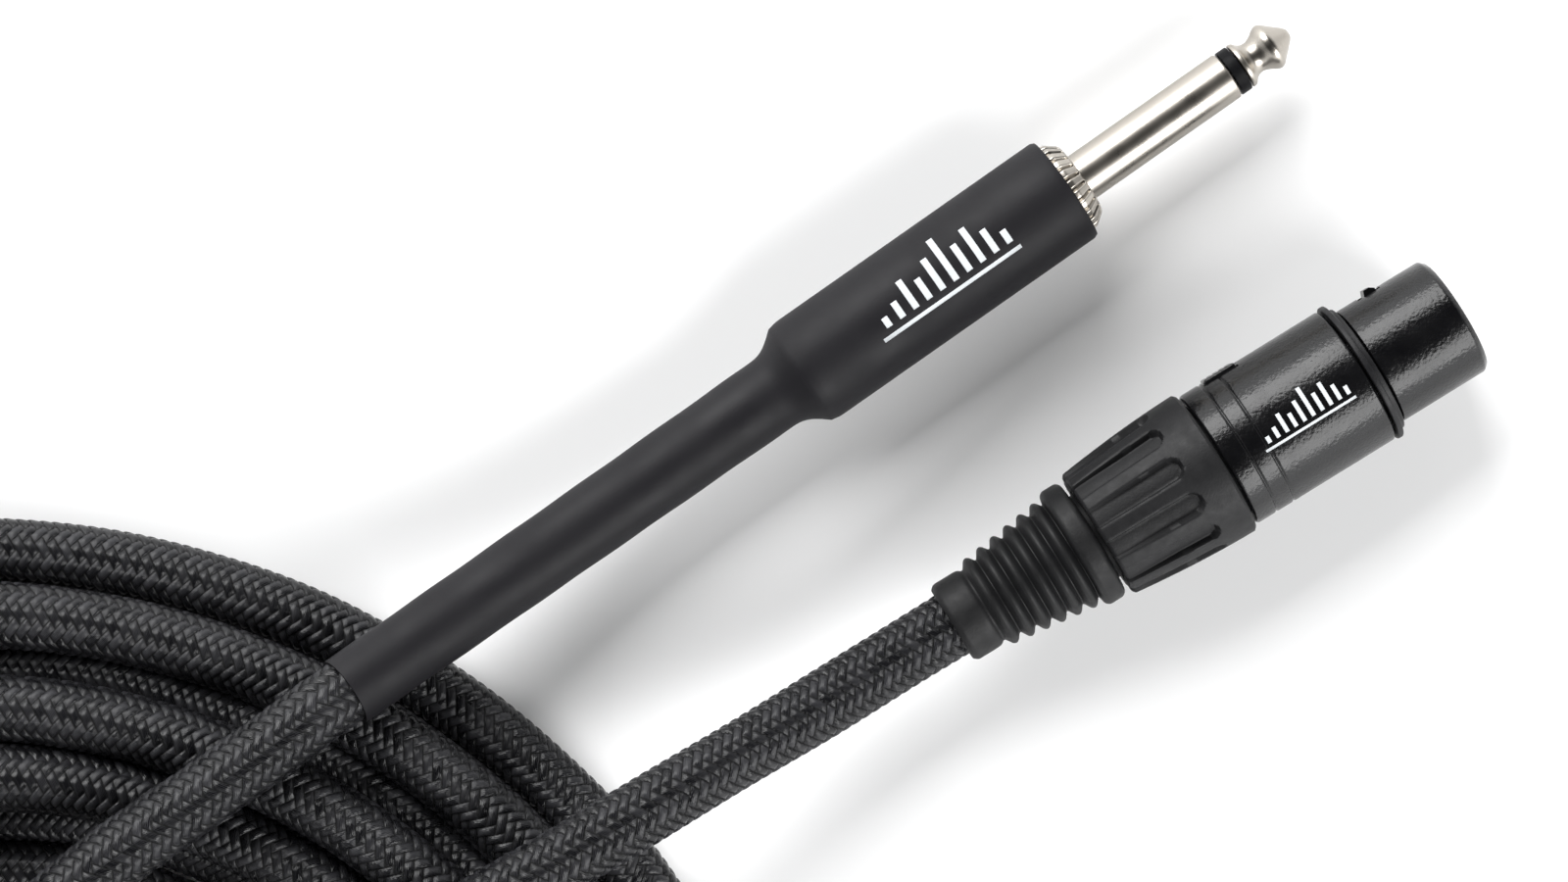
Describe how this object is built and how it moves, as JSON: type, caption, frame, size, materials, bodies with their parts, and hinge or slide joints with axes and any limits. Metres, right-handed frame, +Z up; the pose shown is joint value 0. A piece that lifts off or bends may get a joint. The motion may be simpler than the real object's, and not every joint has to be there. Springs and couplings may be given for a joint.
{
  "type": "coiled audio cable",
  "caption": "Braided instrument cable wound in a flat coil, with a quarter-inch jack plug on one end and a latching female XLR connector with a ribbed boot on the other.",
  "frame": {"origin": "on the surface the cable lies on, under the middle of the whole object's plan", "axes": "+Z up from the surface; both connectors point towards +X and +Y, and the coil lies towards -X and -Y"},
  "size_m": [0.2442, 0.1924, 0.0243],
  "materials": {
    "black_metal": "black hammered lacquer on metal, semi-gloss",
    "nickel": "bright nickel plate",
    "spring_steel": "plain spring steel",
    "gold_contact": "gold-plated brass",
    "black_plastic": "moulded, fine matte",
    "grey_plastic": "glass-filled nylon, fine matte grain",
    "rubber": "soft moulded rubber, matte",
    "heat_shrink": "matte shrunk tubing",
    "clear_liner": "translucent liner",
    "textile_braid": "braided multifilament yarn, lustrous",
    "inner_jacket": "smooth extruded jacket",
    "white_wire": "insulated wire",
    "copper_shield": "twisted bare copper",
    "red_wire": "insulated wire"
  },
  "bodies": {
    "cable_and_connectors": {"cable_coil": "textile_braid", "cable_lead_jack": "textile_braid", "cable_lead_xlr": "textile_braid", "jack_barrel": "nickel", "jack_barrel_liner": "clear_liner", "jack_cable_jacket": "inner_jacket", "jack_collar": "nickel", "jack_ground_clamp": "spring_steel", "jack_heat_shrink": "heat_shrink", "jack_inner_insulator": "black_plastic", "jack_insulator_ring": "black_plastic", "jack_shield_wire": "copper_shield", "jack_signal_wire": "white_wire", "jack_sleeve": "nickel", "jack_tip": "nickel", "jack_tip_terminal": "spring_steel", "xlr_cable_jacket": "inner_jacket", "xlr_chuck": "grey_plastic", "xlr_contact_1": "gold_contact", "xlr_contact_2": "gold_contact", "xlr_contact_3": "gold_contact", "xlr_insert": "black_plastic", "xlr_latch_spring": "spring_steel", "xlr_nose_ring": "rubber", "xlr_shell": "black_metal", "xlr_wire_hot": "white_wire", "xlr_wire_jumper": "red_wire", "xlr_wire_shield": "copper_shield"},
    "latch": {"xlr_latch_tongue": "spring_steel", "xlr_latch_button": "black_metal"},
    "boot": {"xlr_boot": "rubber"},
    "gland_nut": {"xlr_gland_nut": "grey_plastic"}
  },
  "joints": [
    {"name": "latch_press", "type": "slide", "parent": "cable_and_connectors", "child": "latch", "axis": [0.5255, -0.8508, 0], "range_m": [0, 0.0012], "stiffness_N_per_m": 2500, "springref_m": -0.0008},
    {"name": "boot_back", "type": "slide", "parent": "cable_and_connectors", "child": "boot", "axis": [-0.8508, -0.5255, 0], "range_m": [0, 0.0061]},
    {"name": "nut_unscrew", "type": "hinge", "parent": "boot", "child": "gland_nut", "pos_m": [0.11839, 0.05998, 0.0099], "axis": [-0.8508, -0.5255, 0], "range_deg": [0, 2160]}
  ],
  "couplings": [
    {"joint": "boot_back", "follows": "nut_unscrew", "m_per_rad": 0.00015915}
  ]
}
